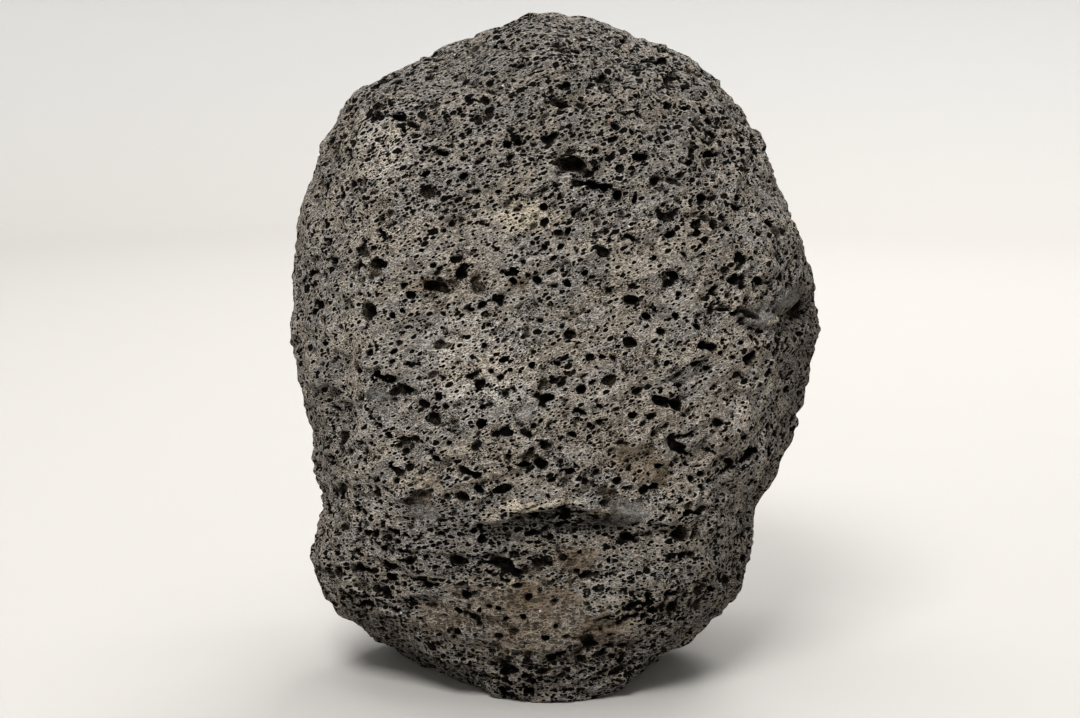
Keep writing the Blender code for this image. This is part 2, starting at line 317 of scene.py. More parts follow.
# ---------------------------------------------------------------------------------------
# The bubbles.  Gas froze into the lava as round and drawn-out bubbles, and the break ran
# through them: each one near the surface is an open pit, often wider inside than its mouth.
# ---------------------------------------------------------------------------------------
# The larger bubbles of the face: x, z, width, height, tilt up to the right
FACE_PITS = (
    (-48.5, 105.5, 7.0, 4.8, 0), (-61.5, 100, 4.6, 3.0, 10), (-32.5, 136, 5.0, 3.6, 0),
    (-28, 145.5, 5.0, 2.8, 5), (-10.5, 148, 6.0, 3.0, 0), (2, 158.5, 6.0, 3.2, 20),
    (5, 142.5, 8.0, 4.6, 0), (10, 137.5, 11.5, 2.6, 15), (-20, 158.5, 7.0, 2.0, 0),
    (22.5, 144.5, 5.0, 3.0, 10), (30.5, 138.5, 10.0, 2.2, 20), (41, 152.5, 4.0, 2.8, 0),
    (35, 156, 3.8, 3.2, 0), (51, 148, 4.8, 3.8, 0), (22.5, 165.5, 5.0, 2.6, 0),
    (29, 129.5, 4.8, 2.6, 5), (40, 134, 5.4, 2.2, 10), (57, 126, 5.4, 3.0, 10),
    (49.6, 107.8, 4.0, 3.4, 0), (30, 82.5, 8.8, 3.6, 5), (20, 97.5, 4.6, 3.0, 10),
    (39.5, 96.5, 5.8, 2.8, 0), (51, 92, 6.0, 3.8, 0), (36.5, 92, 4.4, 2.4, 10),
    (20, 109, 4.6, 3.0, 0), (14, 94, 5.4, 2.4, 5), (4, 99, 4.6, 3.4, 10),
    (-44, 88, 6.0, 2.6, 20), (-37.5, 85.5, 4.8, 2.6, 25), (-30.5, 78, 4.0, 3.4, 60),
    (-57.5, 81.5, 4.6, 2.6, 0), (-5.5, 67, 8.6, 3.4, 10), (-22.5, 65, 5.0, 2.6, 10),
    (-13, 60, 5.6, 3.4, -15), (-23.5, 57.5, 4.4, 3.2, 0), (-56, 69.5, 5.4, 3.4, 20),
    (-47, 63, 4.0, 3.2, 30), (-37.5, 55.5, 5.0, 2.8, 0), (53, 66, 5.6, 2.4, 5),
    (25, 60, 6.0, 2.8, 0), (-39.5, 47.5, 5.4, 2.6, 0), (-29, 47, 4.2, 2.8, 0),
    (-25, 41, 5.8, 3.2, 5), (-13, 40.5, 6.0, 4.0, 10), (-2.5, 40.5, 6.0, 2.8, 5),
    (-43, 37.5, 5.0, 4.4, 0), (-50, 35.5, 6.0, 2.8, 0), (33, 46, 6.0, 4.4, 20),
    (32, 27, 3.6, 3.6, 0), (-15.5, 28.5, 5.2, 2.6, 5), (0.5, 15.5, 6.0, 3.0, 0),
    (-11, 10.5, 5.0, 2.6, 0), (9.5, 19.5, 5.0, 3.4, 0), (-20.5, 25, 4.2, 2.6, 20),
    (-1, 84, 4.4, 3.0, 0), (-18.5, 77, 3.6, 3.0, 0), (43.5, 76, 5.0, 2.6, 20),
    (7, 86, 3.6, 3.4, 0), (-29.5, 84, 3.6, 2.6, 30), (32.5, 70, 4.8, 2.6, 10),
    (0, 112, 4.4, 3.0, 0), (-40.5, 154, 4.2, 3.0, 0), (-30.5, 112, 6.4, 3.0, 10),
    (-45, 117, 5.4, 2.8, 10), (-52.5, 137, 4.2, 2.6, 0), (13, 121, 4.6, 2.6, 20),
)

# The framed view: its middle, the reach that makes a point of it an angle, and the eye
FRAME_CENTRE = (540, 359)
FRAME_REACH = 1935.0
EYE = Vector((-4.7, -532.0, 192.0))
EYE_DROP = 11.4

# Middling bubbles, by where they lie in the framed view: across, down, width, height
FRAMED_PITS = (
    (415, 69, 10, 6), (416, 89, 17, 6), (432, 90, 8, 5), (448, 71, 8, 5), (462, 77, 14, 5),
    (365, 88, 10, 5), (366, 97, 14, 6), (352, 113, 13, 5), (375, 113, 9, 5), (404, 128, 11, 10),
    (412, 124, 12, 5), (432, 120, 8, 6), (447, 120, 13, 7), (463, 125, 7, 6), (333, 137, 9, 7),
    (350, 140, 8, 6), (386, 147, 8, 5), (507, 95, 15, 5), (503, 42, 10, 6), (533, 35, 12, 5),
    (533, 46, 10, 7), (617, 50, 8, 10), (483, 81, 8, 5), (545, 76, 12, 6), (580, 105, 10, 6),
    (608, 92, 13, 8), (614, 98, 14, 4), (622, 112, 12, 6), (640, 114, 14, 8), (615, 126, 12, 9),
    (605, 122, 8, 6), (632, 133, 7, 8), (545, 137, 12, 7), (533, 144, 8, 6), (507, 128, 10, 5),
    (645, 68, 18, 8), (684, 84, 8, 5), (653, 87, 10, 4), (697, 97, 16, 6), (670, 92, 8, 10),
    (703, 112, 14, 12), (713, 135, 10, 5), (673, 129, 10, 6), (655, 122, 10, 6), (703, 142, 16, 8),
    (709, 155, 14, 8), (755, 140, 16, 12), (758, 151, 17, 5), (664, 174, 12, 5), (419, 155, 14, 5),
    (408, 165, 9, 5), (355, 186, 13, 6), (410, 185, 14, 4), (455, 187, 7, 6), (380, 217, 10, 8),
    (353, 233, 12, 6), (381, 232, 15, 7), (415, 240, 7, 5), (448, 245, 15, 6), (428, 246, 8, 6),
    (349, 261, 11, 5), (362, 264, 14, 5), (340, 266, 9, 5), (307, 265, 9, 4), (353, 278, 12, 9),
    (422, 278, 8, 6), (461, 274, 11, 12), (312, 285, 10, 6), (384, 283, 16, 5), (410, 294, 15, 9),
    (562, 160, 25, 4), (616, 196, 13, 13), (635, 198, 9, 14), (586, 205, 10, 7), (600, 213, 8, 7),
    (498, 251, 15, 7), (484, 254, 5, 5), (545, 247, 10, 7), (630, 237, 14, 6), (592, 237, 7, 4),
    (610, 240, 6, 6), (520, 261, 13, 6), (511, 264, 6, 4), (520, 272, 22, 6), (514, 280, 8, 8),
    (538, 280, 13, 9), (568, 285, 13, 9), (585, 283, 8, 5), (577, 269, 5, 5), (608, 292, 7, 7),
    (737, 206, 10, 5), (659, 210, 8, 7), (687, 215, 8, 5), (723, 217, 11, 7), (754, 223, 12, 6),
    (737, 225, 14, 6), (779, 223, 10, 4), (756, 238, 7, 4), (705, 241, 6, 9), (757, 252, 8, 7),
    (684, 254, 12, 7), (781, 265, 8, 9), (675, 275, 14, 8), (721, 277, 8, 4), (758, 281, 15, 12),
    (792, 278, 7, 8), (789, 285, 9, 6), (695, 292, 9, 4), (392, 316, 10, 10), (403, 311, 8, 6),
    (412, 321, 9, 8), (348, 340, 8, 5), (350, 303, 12, 9), (446, 298, 7, 6), (459, 328, 8, 6),
    (448, 334, 13, 6), (528, 328, 10, 6), (541, 320, 10, 8), (470, 309, 7, 5), (610, 305, 14, 7),
    (645, 316, 13, 10), (676, 316, 13, 8), (695, 327, 14, 8), (661, 331, 12, 7), (635, 330, 9, 6),
    (564, 318, 8, 8), (595, 345, 8, 6), (751, 338, 14, 8), (777, 338, 12, 8), (734, 357, 12, 9),
    (743, 377, 14, 6), (727, 374, 7, 6), (356, 371, 10, 9), (404, 395, 8, 6), (417, 393, 9, 6),
    (424, 403, 15, 9), (413, 401, 7, 4), (446, 407, 10, 9), (336, 407, 16, 8), (336, 417, 9, 7),
    (343, 413, 8, 7), (331, 378, 10, 5), (339, 363, 6, 5), (374, 379, 8, 5), (491, 371, 10, 9),
    (491, 386, 8, 5), (481, 400, 7, 6), (521, 371, 6, 8), (515, 388, 9, 7), (512, 409, 11, 7),
    (556, 362, 12, 9), (526, 433, 14, 7), (683, 398, 14, 7), (726, 439, 11, 8), (727, 400, 14, 7),
    (763, 391, 8, 8), (729, 390, 7, 6), (596, 392, 7, 7), (623, 404, 11, 6), (600, 405, 13, 7),
    (584, 414, 12, 5), (617, 414, 8, 8), (694, 417, 7, 8), (782, 422, 10, 9), (572, 436, 13, 8),
    (599, 433, 7, 7), (615, 431, 6, 6), (590, 426, 9, 6), (647, 443, 14, 8), (671, 444, 8, 8),
    (684, 452, 15, 7), (660, 451, 8, 5), (705, 441, 6, 6), (711, 452, 12, 5), (479, 491, 14, 8),
    (449, 443, 9, 10), (431, 452, 8, 8), (436, 460, 12, 10), (366, 462, 14, 7), (378, 478, 13, 10),
    (393, 468, 16, 7), (389, 435, 9, 8), (380, 426, 7, 6), (392, 415, 7, 6), (426, 497, 10, 8),
    (446, 498, 8, 10), (388, 491, 12, 5), (342, 498, 10, 10), (349, 516, 10, 10), (364, 514, 10, 10),
    (386, 516, 12, 7), (577, 464, 14, 8), (762, 466, 20, 7), (730, 463, 14, 6), (674, 475, 9, 8),
    (687, 464, 8, 8), (674, 487, 11, 5), (578, 492, 13, 5), (672, 509, 15, 5), (695, 513, 18, 5),
    (423, 538, 9, 6), (376, 534, 8, 10), (358, 532, 9, 7), (342, 561, 11, 8), (440, 521, 12, 8),
    (465, 525, 8, 7), (510, 570, 20, 10), (526, 553, 11, 8), (551, 536, 10, 9), (410, 562, 11, 6),
    (392, 578, 17, 15), (404, 584, 8, 7), (435, 568, 12, 8), (433, 585, 15, 7), (490, 573, 9, 7),
    (627, 536, 14, 9), (688, 556, 24, 10), (585, 543, 16, 6), (579, 552, 11, 7), (560, 571, 15, 6),
    (603, 585, 11, 5), (669, 593, 14, 7), (681, 620, 12, 12), (410, 608, 9, 8), (395, 609, 14, 10),
    (457, 610, 12, 6), (504, 598, 7, 6), (528, 598, 9, 8), (479, 625, 13, 8), (523, 617, 9, 9),
    (423, 655, 8, 8), (444, 655, 11, 6), (557, 662, 22, 10), (516, 682, 18, 8), (577, 640, 12, 5),
    (592, 647, 18, 12), (611, 647, 12, 7), (597, 684, 12, 6),
)

# The notch at the right edge: a smooth round hollow, thin clefts, and the lip under them,
# by place in the framed view, then width, height, tilt and depth in millimetres
NOTCH_HOLLOW = (794, 309, 7.0, 6.2, 15, 2.4)
NOTCH_CLEFTS = (
    (722, 309, 6.0, 1.3, 4, 1.4), (736, 312, 5.0, 1.6, -12, 2.0), (750, 315, 6.0, 1.8, 25, 2.2),
    (742, 321, 3.0, 2.4, 0, 2.0),
)
NOTCH_LIP = (763, 320, 12.5, 4.2, 6, 1.5)

# Wide shallow hollows of bubbles that the break only grazed: across, down, width, height
FRAMED_HOLLOWS = (
    (577, 166, 30, 17), (375, 270, 20, 10), (477, 286, 15, 12), (777, 231, 20, 10),
    (612, 357, 20, 8), (754, 362, 24, 15), (547, 445, 14, 9), (342, 452, 20, 12),
    (367, 586, 25, 10), (442, 287, 25, 11), (536, 462, 32, 13), (422, 500, 36, 20),
    (666, 107, 22, 6), (518, 142, 22, 10), (565, 100, 22, 12), (433, 190, 18, 13),
)

# How one bubble is made of lobes, in shares of its width and height
LOBE_SEED = 8
LOBES_PER_LENGTH = 0.75
LOBE_SPAN = 0.9
LOBE_OVERLAP = 1.25
LOBE_WANDER = 0.35
LOBE_HEIGHTS = (0.85, 0.25)
LOBE_DEPTHS = (0.62, 0.25)
LOBE_SINK = 0.12
LOBE_EDGE = 0.16
BUD_REACH = 0.8
BUD_SINK = 0.05
BUD_SIZE = (0.5, 0.55, 0.7)
BUD_EDGE = 0.3
FACE_FULLNESS = 0.42
FRAMED_FULLNESS = 0.38
HOLLOW_LIFT = 0.25
HOLLOW_SIZE = (0.58, 0.6, 0.55)
HOLLOW_EDGE = 0.6
NOTCH_LIP_EDGE = 0.4
NOTCH_EDGE = 0.3
CUT_EDGE = 0.05

# The rest are strewn by size, largest first: (count, narrowest, widest, wall between)
STREWN = ((110, 2.4, 3.2, 0.6), (4200, 1.4, 2.4, 0.25), (6500, 1.0, 1.4, 0.12))
STREW_SEED = 23
STREW_TRIES = 4
SMALLER_MORE = 1.8
WIDEST_REACH = 3.3

# They crowd low on the stone and at its crown, and dust chokes them in two patches
CROWDED_HEIGHTS = (40, 62, 120, 150)
CROWDED_SHARES = (2.2, 1.0, 1.0, 1.4)
CALM_PATCHES = ((-8, 25, 40, 18), (-46.5, 146, 15, 20))
CALM_SHARE = 0.3

# How many times longer than wide they are, less so in the corner below left
DRAWN_OUT = (1.15, 2.5)
DRAWN_EVENNESS = 1.3
ROUND_CORNER = (-20, 60)
ROUND_CORNER_SHARE = 0.4
STREW_TURN = 18
STREW_SWAY = 0.3
STREW_DEPTHS = (-0.3, 1.05)
STREW_HOLLOWS = (1.1, 0.4)

# Neighbours are looked up in cells of this size, and may lie closer end to end
CELL = 4.0
END_TO_END = 0.75

# What bends the bubbles' walls: (width, height)
WARP = ((3.2, 0.20), (1.4, 0.13))


def stretched_sphere(centre, axes, radii, margin):
    """The part of the field round a stretched sphere, and how deep inside it each cell is."""
    centre = np.asarray(centre) / VOXEL - grid_corner
    radii = np.asarray(radii) / VOXEL
    reach = np.sqrt(((axes * radii[:, None]) ** 2).sum(axis=0)) + 1.5 + margin / VOXEL
    first = np.maximum(np.floor(centre - reach).astype(int), 0)
    last = np.minimum(np.ceil(centre + reach).astype(int) + 1, field.shape)
    if (last <= first).any():
        return field[:0, :0, :0], np.zeros((0, 0, 0), dtype=np.float32)
    away = np.ogrid[first[0]:last[0], first[1]:last[1], first[2]:last[2]]
    x, y, z = (away[i] - centre[i] for i in range(3))
    near = 0.0
    steep = 1e-9
    for axis, radius in zip(axes, radii):
        along = (x * axis[0] + y * axis[1] + z * axis[2]) / radius
        near = near + along * along
        steep = steep + (along / radius) ** 2
    near = np.sqrt(near)
    inside = near * (1 - near) / np.sqrt(steep) * VOXEL
    block = field[first[0]:last[0], first[1]:last[1], first[2]:last[2]]
    return block, inside.astype(np.float32)


def carve(centre, axes, radii, softness=CUT_EDGE):
    """Cut a stretched sphere out of the field, with its edge rounded over by a softness."""
    block, inside = stretched_sphere(centre, axes, radii, softness)
    close = np.maximum(softness - np.abs(block - inside), 0)
    np.maximum(block, inside, out=block)
    block += close * close / (4 * softness)


def build_up(centre, axes, radii, softness):
    """Add a stretched sphere to the stone, run softly into what is there."""
    block, inside = stretched_sphere(centre, axes, radii, softness)
    close = np.maximum(softness - np.abs(block + inside), 0)
    np.minimum(block, -inside, out=block)
    block -= close * close / (4 * softness)


def pit_axes(normal, tilt):
    """Directions along a bubble's mouth, across it and out of the surface."""
    level = Vector((0, 0, 1)).cross(normal)
    if level.length < 0.1:
        level = Vector((1, 0, 0))
    level.normalize()
    along = Matrix.Rotation(math.radians(-tilt), 3, normal) @ level
    return np.array((along, normal.cross(along), normal))


field = crust.copy()
tree = BVHTree.FromBMesh(form)


def face_spot(x, z):
    """Where the face is at x, z, and which way it looks there."""
    spot, normal, _, _ = tree.ray_cast(Vector((x, -200, z)) + to_frame, Vector((0, 1, 0)))
    return spot, normal


taken = {}


def is_free(spot, reach, widest, wall):
    """Whether a bubble of this reach keeps a wall between it and its neighbours."""
    span = int(math.ceil((reach + widest + wall) / CELL))
    home = [int(math.floor(value / CELL)) for value in spot]
    for i in range(home[0] - span, home[0] + span + 1):
        for j in range(home[1] - span, home[1] + span + 1):
            for k in range(home[2] - span, home[2] + span + 1):
                for other, room in taken.get((i, j, k), ()):
                    gap = reach + room + wall
                    dx = (spot[0] - other[0]) * END_TO_END
                    dy = spot[1] - other[1]
                    dz = spot[2] - other[2]
                    if dx * dx + dy * dy + dz * dz < gap * gap:
                        return False
    return True


def take(spot, reach):
    """Note a bubble, so that its neighbours keep clear."""
    home = tuple(int(math.floor(value / CELL)) for value in spot)
    taken.setdefault(home, []).append((spot, reach))


lobe_rng = np.random.default_rng(LOBE_SEED)


def open_bubble(spot, normal, tilt, width, height, fullness):
    """One bubble of the face: a few lobes run together, more of them the longer it is."""
    axes = pit_axes(normal, tilt)
    along, across, outward = (Vector(axis) for axis in axes)
    count = max(1, round(LOBES_PER_LENGTH * width / height))
    for index in range(count):
        draw = lobe_rng.random(4)
        aside = ((index + 0.5) / count - 0.5) * width * LOBE_SPAN
        centre = spot + along * aside + across * (draw[0] - 0.5) * LOBE_WANDER * height
        wide = fullness * width / count * (LOBE_OVERLAP if count > 1 else 1.0)
        high = fullness * height * (LOBE_HEIGHTS[0] + LOBE_HEIGHTS[1] * draw[1])
        deep = height * (LOBE_DEPTHS[0] + LOBE_DEPTHS[1] * draw[2])
        sunk = centre - normal * LOBE_SINK * height
        carve(sunk, axes, (wide, high, deep), LOBE_EDGE * height)
        turn = math.tau * draw[3]
        centre = centre + along * math.cos(turn) * wide * BUD_REACH
        centre = centre + across * math.sin(turn) * high * BUD_REACH
        bud = (wide * BUD_SIZE[0], high * BUD_SIZE[1], deep * BUD_SIZE[2])
        carve(centre - normal * BUD_SINK * height, axes, bud, BUD_EDGE)


for x, z, width, height, tilt in FACE_PITS:
    spot, normal = face_spot(x, z)
    open_bubble(spot, normal, tilt, width, height, FACE_FULLNESS)
    take(tuple(spot - normal * 0.25 * height), height / 2)


def framed_spot(across, down):
    """Where the line of sight through one point of the framed view meets the stone."""
    sight = Vector((across - FRAME_CENTRE[0], FRAME_CENTRE[1] - down, -FRAME_REACH))
    sight.rotate(Matrix.Rotation(math.radians(90 - EYE_DROP), 3, "X"))
    spot, normal, _, far = tree.ray_cast(EYE, sight.normalized())
    return spot, normal, far


for across, down, wide, high in FRAMED_PITS:
    spot, normal, far = framed_spot(across, down)
    size = far / FRAME_REACH
    width, height = wide * size, high * size
    open_bubble(spot, normal, flow_tilt(spot.z), width, height, FRAMED_FULLNESS)
    take(tuple(spot - normal * 0.2 * height), height / 2)
for across, down, wide, high in FRAMED_HOLLOWS:
    spot, normal, far = framed_spot(across, down)
    size = far / FRAME_REACH
    radii = (
        HOLLOW_SIZE[0] * wide * size, HOLLOW_SIZE[1] * high * size, HOLLOW_SIZE[2] * high * size,
    )
    lifted = spot + normal * HOLLOW_LIFT * high * size
    carve(lifted, pit_axes(normal, flow_tilt(spot.z)), radii, HOLLOW_EDGE)


def crowding(face):
    """How much closer the bubbles lie here than at the middle of the face."""
    middle = face.calc_center_median()
    share = float(np.interp(middle.z, CROWDED_HEIGHTS, CROWDED_SHARES))
    for x, z, wide, high in CALM_PATCHES:
        away = math.hypot(2 * (middle.x - x) / wide, 2 * (middle.z - z) / high)
        if middle.y < 0 and away < 1:
            share *= CALM_SHARE
    return share


rng = np.random.default_rng(STREW_SEED)
form.faces.ensure_lookup_table()
face_share = np.cumsum([face.calc_area() * crowding(face) for face in form.faces])
face_share /= face_share[-1]
for count, narrow, wide, wall in STREWN:
    tries = count * STREW_TRIES
    picks = np.searchsorted(face_share, rng.random(tries))
    draws = rng.random((tries, 7))
    placed = 0
    for pick, draw in zip(picks, draws):
        face = form.faces[int(pick)]
        spot = face.calc_center_median()
        width = narrow + (wide - narrow) * draw[0] ** SMALLER_MORE
        rounder = spot.x < ROUND_CORNER[0] and spot.z < ROUND_CORNER[1]
        longer = (ROUND_CORNER_SHARE if rounder else 1.0) * (DRAWN_OUT[1] - DRAWN_OUT[0])
        drawn = DRAWN_OUT[0] + longer * draw[1] ** DRAWN_EVENNESS
        radius = width / 2 / math.sqrt(drawn)
        centre = spot - face.normal * radius * (STREW_DEPTHS[0] + STREW_DEPTHS[1] * draw[2])
        centre = tuple(centre[i] + (draw[4 + i] - 0.5) for i in range(3))
        if not is_free(centre, radius, WIDEST_REACH, wall):
            continue
        take(centre, radius)
        tilt = math.radians(flow_tilt(spot.z) + STREW_TURN * (draw[3] - 0.5))
        sway = STREW_SWAY * (draw[4] - 0.5)
        flow = Vector((math.cos(tilt), sway, math.sin(tilt))).normalized()
        side = flow.cross(Vector((0, -1, 0))).normalized()
        axes = np.array((flow, side, flow.cross(side)))
        hollow = STREW_HOLLOWS[0] + STREW_HOLLOWS[1] * draw[5]
        carve(centre, axes, (radius * drawn, radius, radius * hollow))
        placed += 1
        if placed == count:
            break
for size, height in WARP:
    field += height * soft_noise(field.shape, size / VOXEL, rng)


def notch_part(measures):
    """The place, directions and radii of one part of the notch."""
    across, down, width, height, tilt, deep = measures
    spot, normal, _ = framed_spot(across, down)
    return spot, pit_axes(normal, tilt), (width / 2, height / 2, deep)


build_up(*notch_part(NOTCH_LIP), NOTCH_LIP_EDGE)
for hollow in (*NOTCH_CLEFTS, NOTCH_HOLLOW):
    carve(*notch_part(hollow), NOTCH_EDGE)

# ---------------------------------------------------------------------------------------
# The skin.  Everything the eye meets: the crust with its open bubbles as one closed
# surface, flat underneath where the stone stands.
# ---------------------------------------------------------------------------------------
MM = 0.001
SKIN_TRIANGLES = 198000

# Distances are kept only this close to the surface
NEAR_SURFACE = 1.5

# How hard the skin is thinned on the face and round the back, and the depth between them
THINNING = (0.3, 0.6)
THINNING_LEVELS = 4
THINNING_DEPTH = 30

# How far out the room before the surface is felt for, and the angle that stays sharp
OPEN_STEPS = (0.8, 1.6, 3.2)
SHARP_ANGLE = 50


def inside_box():
    """Trim the field to the frame's box and to the flat foot."""
    for axis in range(3):
        place = (np.arange(field.shape[axis]) + grid_corner[axis]) * VOXEL
        beyond = np.maximum(cad_box[0][axis] / MM - place, place - cad_box[1][axis] / MM)
        shape = [1, 1, 1]
        shape[axis] = -1
        np.maximum(field, beyond.astype(np.float32).reshape(shape), out=field)


def largest_shell(points, quads):
    """Only the outer surface: bubbles that stayed shut and loose crumbs are dropped."""
    label = np.arange(len(points))
    while True:
        lowest = label[quads].min(axis=1)
        newer = label.copy()
        for corner in range(4):
            np.minimum.at(newer, quads[:, corner], lowest)
        newer = newer[newer]
        if (newer == label).all():
            break
        label = newer
    names, counts = np.unique(label, return_counts=True)
    kept = label == names[counts.argmax()]
    number = np.cumsum(kept) - 1
    return points[kept], number[quads[kept[quads[:, 0]]]]


def skin_mesh():
    """The zero surface of the field as a mesh of quads, in metres."""
    grid = openvdb.FloatGrid(NEAR_SURFACE)
    grid.transform = openvdb.createLinearTransform(voxelSize=VOXEL)
    near = np.clip(field, -NEAR_SURFACE, NEAR_SURFACE)
    grid.copyFromArray(near, ijk=tuple(int(i) for i in grid_corner))
    points, quads = grid.convertToQuads(isovalue=0.0)
    points, quads = largest_shell(points, quads.astype(np.int64))
    mesh = bpy.data.meshes.new("lava_rock_skin")
    mesh.vertices.add(len(points))
    mesh.vertices.foreach_set("co", (points * MM).astype(np.float32).ravel())
    mesh.loops.add(quads.size)
    mesh.loops.foreach_set("vertex_index", quads.ravel().astype(np.int32))
    mesh.polygons.add(len(quads))
    mesh.polygons.foreach_set("loop_start", np.arange(0, quads.size, 4, dtype=np.int32))
    mesh.update(calc_edges=True)
    return mesh


inside_box()
skin = bpy.data.objects.new("lava_rock_skin", skin_mesh())
bpy.context.scene.collection.objects.link(skin)


def thin_out():
    """Bring the skin to its triangle count, finer on the face than round the back."""
    count = len(skin.data.vertices)
    places = np.empty(count * 3, dtype=np.float32)
    skin.data.vertices.foreach_get("co", places)
    behind = np.clip(0.5 + places.reshape(-1, 3)[:, 1] / (THINNING_DEPTH * MM), 0, 1)
    group = skin.vertex_groups.new(name="behind")
    for level in range(THINNING_LEVELS + 1):
        rows = np.nonzero(np.round(behind * THINNING_LEVELS) == level)[0]
        weight = THINNING[0] + level / THINNING_LEVELS * (THINNING[1] - THINNING[0])
        group.add(rows.tolist(), weight, "REPLACE")
    fewer = skin.modifiers.new("Fewer faces", "DECIMATE")
    fewer.ratio = SKIN_TRIANGLES / (2 * len(skin.data.polygons))
    fewer.vertex_group = "behind"
    fewer.vertex_group_factor = 1.0
    fewer.use_collapse_triangulate = True
    depsgraph = bpy.context.evaluated_depsgraph_get()
    mesh = bpy.data.meshes.new_from_object(skin.evaluated_get(depsgraph))
    skin.modifiers.clear()
    skin.vertex_groups.clear()
    skin.data = mesh


def field_at(values, places):
    """A field's values at places in millimetres, blended between its cells."""
    spot = places / VOXEL - grid_corner
    base = np.clip(np.floor(spot).astype(int), 0, np.array(values.shape) - 2)
    part = np.clip(spot - base, 0, 1)
    total = 0.0
    for i in (0, 1):
        for j in (0, 1):
            for k in (0, 1):
                weight = (
                    (part[:, 0] if i else 1 - part[:, 0])
                    * (part[:, 1] if j else 1 - part[:, 1])
                    * (part[:, 2] if k else 1 - part[:, 2])
                )
                total = total + weight * values[base[:, 0] + i, base[:, 1] + j, base[:, 2] + k]
    return total


def mark(name, values):
    """Store one number a point on the skin, for its material."""
    layer = skin.data.attributes.new(name, "FLOAT", "POINT")
    layer.data.foreach_set("value", values.astype(np.float32))


thin_out()
count = len(skin.data.vertices)
places = np.empty(count * 3, dtype=np.float32)
skin.data.vertices.foreach_get("co", places)
places = np.clip(places.reshape(-1, 3), *np.array(cad_box, dtype=np.float32))
skin.data.vertices.foreach_set("co", places.ravel())
skin.data.update()
places = places / MM
outward = np.empty(count * 3, dtype=np.float32)
skin.data.vertices.foreach_get("normal", outward)
outward = outward.reshape(-1, 3)
mark("depth", -field_at(crust, places))
rooms = [np.clip(field_at(field, places + outward * step) / step, 0, 1) for step in OPEN_STEPS]
mark("openness", sum(rooms) / len(rooms))
skin.data.shade_smooth()
skin.data.set_sharp_from_angle(angle=math.radians(SHARP_ANGLE))
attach(skin, "root")
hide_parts("lava_rock")

# ---------------------------------------------------------------------------------------
# The basalt.  Dull dark grey glass full of pin bubbles, painted nearly black inside them as
# painted shade, with painted highlight on their paler rims, ground dust, pale mineral crusts and a few
# rusty specks.
# ---------------------------------------------------------------------------------------
STONE_DARK = (0.019, 0.016, 0.013)
STONE_PALE = (0.590, 0.534, 0.464)
# Painted shade: near black for holes, and a darkening multiplier for bubble walls
HOLE_SHADE_BLACK = (0.0026, 0.0021, 0.0015)
BUBBLE_SHADE = (0.34, 0.30, 0.25)
COOL = (0.98, 1.0, 1.04)
WARM = (1.04, 1.0, 0.94)
MINERAL = (0.86, 0.74, 0.57)
DUST = (0.47, 0.355, 0.24)
BROWN = (0.20, 0.135, 0.072)
SLATE = (0.097, 0.100, 0.099)
RUST = (0.40, 0.17, 0.06)
CRYSTAL = (0.90, 0.88, 0.82)

# Patches of another colour on the face: x, z, width, height
MINERAL_PATCHES = (
    (-9.4, 129.5, 14, 8), (-11.5, 56.0, 6, 3.6), (-7.0, 55.4, 6, 2.4), (-0.6, 57.0, 7, 1.5),
    (-17.5, 53.0, 5, 2.4), (10.4, 53.6, 5, 2.4), (-35, 61.0, 4, 3), (58.5, 101.2, 6, 1.6),
    (-11.5, 35.3, 3, 3), (-5.6, 36.0, 2, 2),
)
DUST_PATCHES = (
    (-8, 25.5, 40, 19), (-30, 24, 14, 8), (12, 21, 14, 8), (-34, 61, 8, 5), (4.5, 41, 12, 7),
)
BROWN_PATCHES = (
    (-6, 31, 20, 8), (20, 67, 14, 10), (4.5, 40.5, 9, 5), (-11, 112.5, 7, 3), (-35, 112, 8, 4),
    (26.5, 63, 5, 6), (10, 23, 12, 5),
)
SLATE_PATCHES = (
    (16.0, 53.8, 12, 7), (-35.3, 54.1, 7, 4), (-8.6, 80.2, 4, 4),
    (-46.2, 83.4, 6, 3), (53.6, 103.4, 13, 5), (61.5, 105.2, 8, 7),
)

# Where the broken surface is rubbed paler
PALE_PATCHES = ((-46.5, 146, 15, 20), (-22, 93, 26, 24), (54, 80, 18, 26))
PALE_GAIN = 1.5

# The streaky recess under the ledge, painted darker as shade
RECESS_SHADE = ((-4, 53.0, 24, 5), (6, 51.5, 30, 6))

# Dull glass, a little smoother where it is slaty, and relief too fine to model
GLOSS = 0.05
STONE_ROUGHNESS = 0.93
SLATE_ROUGHNESS = 0.62
RELIEF_DEPTH = 1.8
RELIEF_ON_SLATE = 0.35

# The flow under a height and over it, in degrees, and how far it draws out the texture
FLOW_BELOW = 4
FLOW_ABOVE = 26
FLOW_HEIGHT = 0.072
FLOW_STRETCH = 1.7
STREAK_STRETCH = 4.0

# Where pin bubbles begin and where they crowd, darkened there as painted shade: foot, crown, left
# flank, right flank
POROUS_FOOT = (0.034, 0.068)
POROUS_CROWN = (0.115, 0.160)
POROUS_LEFT = (-0.074, -0.042)
POROUS_RIGHT = (0.040, 0.070)

# Single grains: how closely their cells lie, the share that is filled, and the size
CRYSTALS = (0.22, 0.18, 0.09)
RUSTY_GRAINS = (0.14, 0.35, 0.055)

basalt = bpy.data.materials.new("vesicular_basalt")
basalt.use_nodes = True
links = basalt.node_tree.links
shader = basalt.node_tree.nodes["Principled BSDF"]
shader.inputs["Specular IOR Level"].default_value = GLOSS


def nearness(patches):
    """How close each point of the face is to the middle of its nearest patch."""
    total = np.zeros(len(places))
    for x, z, wide, high in patches:
        away = (2 * (places[:, 0] - x) / wide) ** 2 + (2 * (places[:, 2] - z) / high) ** 2
        np.maximum(total, np.exp(-0.7 * away), out=total)
    return total * (places[:, 1] < 0)


